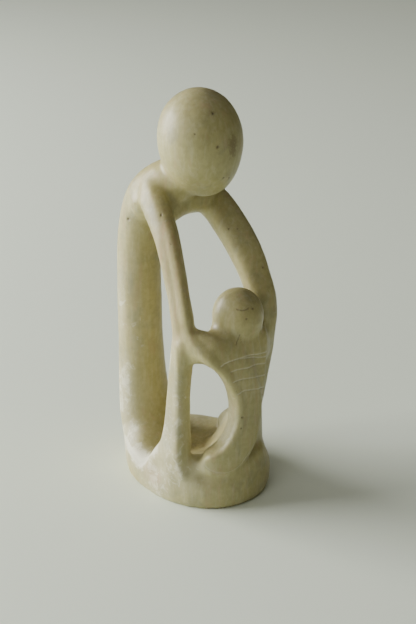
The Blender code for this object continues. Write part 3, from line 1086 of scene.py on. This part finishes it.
def marks_group():
    """Fine crossing scratches left by sandpaper."""
    sockets, given, result = new_group(
        "Sanding Marks",
        [("Vector", "NodeSocketVector", None), ("Scale", "NodeSocketFloat", 400.0)],
        [("Height", "NodeSocketFloat")],
    )
    heights = []
    for turn, stretch in (((0.3, 0.5, 0.2), (1.0, 0.08, 0.6)), ((-0.7, 0.2, 0.9), (0.7, 1.0, 0.06))):
        turned = sockets.made(
            "ShaderNodeMapping", {"Vector": given.outputs["Vector"], "Rotation": turn, "Scale": stretch}
        )
        strokes = sockets.made(
            "ShaderNodeTexNoise",
            {"Vector": turned.outputs[0], "Scale": given.outputs["Scale"], "Detail": 2.0},
        )
        heights.append(strokes.outputs["Fac"])
    sockets.feed(result.inputs["Height"], sockets.calculate("ADD", *heights))
    return sockets.tree


def placed(sockets, tree, **values):
    """A group placed in a material with its own values."""
    node = sockets.node("ShaderNodeGroup", node_tree=tree)
    for name, value in values.items():
        sockets.feed(node.inputs[name], value)
    return node.outputs[0]


def kept(sockets, name):
    """The value that the mesh keeps under this name."""
    return sockets.node("ShaderNodeAttribute", attribute_name=name).outputs["Fac"]


def soapstone(stone):
    """Cream soapstone: honey and ash clouds, streaks, scuffed pale patches, dark pits, painted shade in
    the hollows and in the bowl inside the base, a little painted highlight on proud places, and a low
    shine.
    """
    material = bpy.data.materials.new("Soapstone")
    material.use_nodes = True
    sockets = Sockets(material.node_tree)
    shader = material.node_tree.nodes["Principled BSDF"]
    where = sockets.node("ShaderNodeTexCoord").outputs["Object"]
    clouds = clouds_group()
    specks = specks_group()
    streaks = streaks_group()
    worn = worn_group()
    marks = marks_group()
    calculate = sockets.calculate

    honey_cloud = placed(sockets, clouds, Vector=where, Scale=16.0, Warp=0.8, Low=0.40, High=0.68)
    ash_cloud = placed(sockets, clouds, Vector=where, Scale=60.0, Warp=1.4, Low=0.50, High=0.72)
    grain = placed(sockets, clouds, Vector=where, Scale=330.0, Warp=0.8, Low=0.30, High=0.70)
    fine_streaks = placed(sockets, streaks, Vector=where, Scale=420.0, Low=0.46, High=0.66)
    broad_streaks = placed(sockets, streaks, Vector=where, Scale=190.0, Low=0.50, High=0.62)

    honey_patches = calculate("MULTIPLY", kept(sockets, "honey"), 0.6)
    honey_share = calculate("MULTIPLY_ADD", honey_cloud, 0.35, honey_patches)
    colour = sockets.blend(honey_share, tuple(stone.cream), tuple(stone.honey))
    ash_share = calculate("MULTIPLY", ash_cloud, 0.60)
    colour = sockets.blend(ash_share, colour, tuple(stone.ash))
    colour = sockets.blend(calculate("MULTIPLY", grain, 0.30), colour, tuple(stone.shade))
    colour = sockets.blend(calculate("MULTIPLY", fine_streaks, 0.13), colour, tuple(stone.chalk))
    tan_streaks = placed(sockets, streaks, Vector=where, Scale=260.0, Low=0.52, High=0.70)
    colour = sockets.blend(calculate("MULTIPLY", tan_streaks, 0.30), colour, tuple(stone.rose))
    # Painted shade: the hollows are darkened towards the shade colour.
    hollow_share = calculate("MULTIPLY", kept(sockets, "hollow"), 0.62)
    colour = sockets.blend(hollow_share, colour, tuple(stone.shade))

    # Proud places add to the pale scuffs: partly wear, partly painted highlight.
    wear_and_highlight = calculate("MULTIPLY_ADD", kept(sockets, "proud_wear_and_highlight"), 0.22, kept(sockets, "pale"), clamp=True)
    scuffs_and_highlight = placed(sockets, worn, Vector=where, Scale=170.0, Amount=wear_and_highlight)
    scuff_and_highlight_share = calculate("MULTIPLY", scuffs_and_highlight, 0.55)
    chalk_share = calculate("MULTIPLY_ADD", kept(sockets, "pale"), 0.5, scuff_and_highlight_share, clamp=True)
    colour = sockets.blend(chalk_share, colour, tuple(stone.chalk))

    rose_streaks = calculate("MULTIPLY_ADD", broad_streaks, 0.60, 0.25)
    rose_share = calculate("MULTIPLY", kept(sockets, "rose"), rose_streaks)
    colour = sockets.blend(rose_share, colour, tuple(stone.rose))
    grey_streaks = calculate("MULTIPLY_ADD", broad_streaks, 0.5, 0.35)
    grey_share = calculate("MULTIPLY", kept(sockets, "grey"), grey_streaks)
    colour = sockets.blend(grey_share, colour, tuple(stone.slate))
    colour = sockets.blend(calculate("MULTIPLY", kept(sockets, "dust"), 0.75), colour, tuple(stone.chalk))

    # Brown stains, and painted shade in the bowl inside the base.
    stain_specks = placed(sockets, worn, Vector=where, Scale=700.0, Amount=kept(sockets, "stain_and_pocket_shade"))
    stain_depth = calculate("MULTIPLY_ADD", stain_specks, 0.55, 0.12)
    stain_and_pocket_shade_share = calculate("MULTIPLY", stain_depth, kept(sockets, "stain_and_pocket_shade"))
    colour = sockets.blend(stain_and_pocket_shade_share, colour, tuple(stone.stain_and_pocket_shade))
    small = placed(sockets, specks, Vector=where, Scale=210.0, Size=0.13, Share=0.10)
    large = placed(sockets, specks, Vector=where, Scale=70.0, Size=0.085, Share=0.10)
    pits = calculate("MAXIMUM", small, large)
    dark = calculate("MAXIMUM", pits, kept(sockets, "dark"))
    colour = sockets.blend(calculate("MULTIPLY", dark, 0.85), colour, tuple(stone.pit))
    sockets.feed(shader.inputs["Base Color"], colour)

    uneven = placed(sockets, clouds, Vector=where, Scale=90.0, Warp=0.6, Low=0.3, High=0.75)
    gloss = calculate("MULTIPLY_ADD", uneven, 0.14, stone.roughness - 0.06)
    gloss = calculate("MULTIPLY_ADD", chalk_share, 0.28, gloss)
    gloss = calculate("MULTIPLY_ADD", dark, 0.30, gloss, clamp=True)
    sockets.feed(shader.inputs["Roughness"], gloss)
    shader.inputs["Specular IOR Level"].default_value = 0.5

    scratches = placed(sockets, marks, Vector=where, Scale=420.0)
    height = calculate("MULTIPLY", scratches, 0.10)
    height = calculate("MULTIPLY_ADD", grain, 0.10, height)
    height = calculate("MULTIPLY_ADD", scuffs_and_highlight, -0.16, height)
    height = calculate("MULTIPLY_ADD", pits, -1.4, height)
    bump = sockets.made("ShaderNodeBump", {"Height": height, "Strength": 0.35, "Distance": 0.0005})
    sockets.feed(shader.inputs["Normal"], bump.outputs["Normal"])
    return material


class SOAPSTONE_OT_carving(bpy.types.Operator):
    """Finishes the carving's surface and gives it its stone"""

    bl_idname = "soapstone.carving"
    bl_label = "Finish the Carving"

    def execute(self, context):
        surface = context.scene.soapstone_surface
        carving = rough_out()
        for levels in (FRONT_BLOCK, INNER_BLOCK, SADDLE_BLOCK, RUN_OUT_BLOCK):
            join_block(carving, levels)
        sand(carving, surface)
        work_out(carving)
        hand_work(carving, surface)
        masks = scribe(carving, surface)
        weather(carving, masks)
        carving.data.materials.append(soapstone(context.scene.soapstone_stone))
        only(carving)
        bpy.ops.object.shade_smooth()
        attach(carving, "root")
        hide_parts(SOLID)
        return {"FINISHED"}


def floor_material(colour):
    """Matt pale paint."""
    material = bpy.data.materials.new("Pale Floor")
    material.use_nodes = True
    shader = material.node_tree.nodes["Principled BSDF"]
    shader.inputs["Base Color"].default_value = colour
    shader.inputs["Roughness"].default_value = 0.7
    return material


def soft_light(name, turn, rise, distance, power, size):
    """A soft light of this width and height that shines on the carving from this direction."""
    level = Vector((math.cos(turn), math.sin(turn), 0)) * math.cos(rise)
    direction = level + Vector((0, 0, math.sin(rise)))
    bpy.ops.object.select_all(action="DESELECT")
    bpy.ops.object.light_add(type="AREA", location=Vector(LIT_PLACE) + direction * distance)
    light = bpy.context.object
    light.name = name
    light.data.energy = power
    light.data.shape = "RECTANGLE"
    light.data.size = size[0]
    light.data.size_y = size[1]
    light.rotation_euler = (-direction).to_track_quat("-Z", "Y").to_euler()


class SOAPSTONE_OT_stage(bpy.types.Operator):
    """Lays the floor and sets the light and the camera"""

    bl_idname = "soapstone.stage"
    bl_label = "Set the Stage"

    def execute(self, context):
        stage = context.scene.soapstone_stage
        bpy.ops.object.select_all(action="DESELECT")
        bpy.ops.mesh.primitive_plane_add(size=stage.floor_size, location=(0, 0, 0))
        floor = context.object
        floor.name = "floor"
        floor.data.materials.append(floor_material(stage.floor_colour))
        soft_light(
            "key_light",
            stage.key_turn,
            stage.key_rise,
            stage.key_reach,
            stage.key_power,
            stage.key_size,
        )
        bpy.ops.object.select_all(action="DESELECT")
        bpy.ops.object.light_add(type="SUN", location=(0, 0, 2), rotation=TOP_TILT)
        context.object.name = "top_light"
        context.object.data.energy = stage.top_power
        context.object.data.angle = TOP_SPREAD
        soft_light("front_light", FRONT_TURN, FRONT_RISE, FRONT_REACH, stage.front_power, FRONT_SIZE)
        world = bpy.data.worlds.new("Even Light")
        context.scene.world = world
        world.use_nodes = True
        sky = world.node_tree.nodes["Background"]
        sky.inputs["Color"].default_value = SKY_COLOUR
        sky.inputs["Strength"].default_value = stage.fill
        bpy.ops.object.camera_add(location=stage.eye, rotation=stage.aim)
        camera = context.object
        camera.data.lens = stage.lens
        camera.data.sensor_width = SENSOR_WIDTH
        camera.data.clip_start = NEAREST_SEEN
        context.scene.camera = camera
        return {"FINISHED"}


class SOAPSTONE_PT_sidebar(bpy.types.Panel):
    """The carving's settings"""

    bl_idname = "SOAPSTONE_PT_sidebar"
    bl_label = "Soapstone"
    bl_space_type = "VIEW_3D"
    bl_region_type = "UI"
    bl_category = "Soapstone"

    def draw(self, context):
        scene = context.scene
        for operator, settings in (
            (SOAPSTONE_OT_carving.bl_idname, (scene.soapstone_surface, scene.soapstone_stone)),
            (SOAPSTONE_OT_stage.bl_idname, (scene.soapstone_stage,)),
        ):
            box = self.layout.box()
            for group in settings:
                for name in group.__annotations__:
                    box.prop(group, name)
            box.operator(operator)


CLASSES = (
    SurfaceSettings,
    StoneSettings,
    StageSettings,
    SOAPSTONE_OT_carving,
    SOAPSTONE_OT_stage,
    SOAPSTONE_PT_sidebar,
)


def register():
    for cls in CLASSES:
        bpy.utils.register_class(cls)
    bpy.types.Scene.soapstone_surface = PointerProperty(type=SurfaceSettings)
    bpy.types.Scene.soapstone_stone = PointerProperty(type=StoneSettings)
    bpy.types.Scene.soapstone_stage = PointerProperty(type=StageSettings)


def unregister():
    del bpy.types.Scene.soapstone_stage
    del bpy.types.Scene.soapstone_stone
    del bpy.types.Scene.soapstone_surface
    for cls in reversed(CLASSES):
        bpy.utils.unregister_class(cls)


def main():
    register()
    bpy.ops.soapstone.carving()
    bpy.ops.soapstone.stage()


if __name__ == "__main__":
    main()
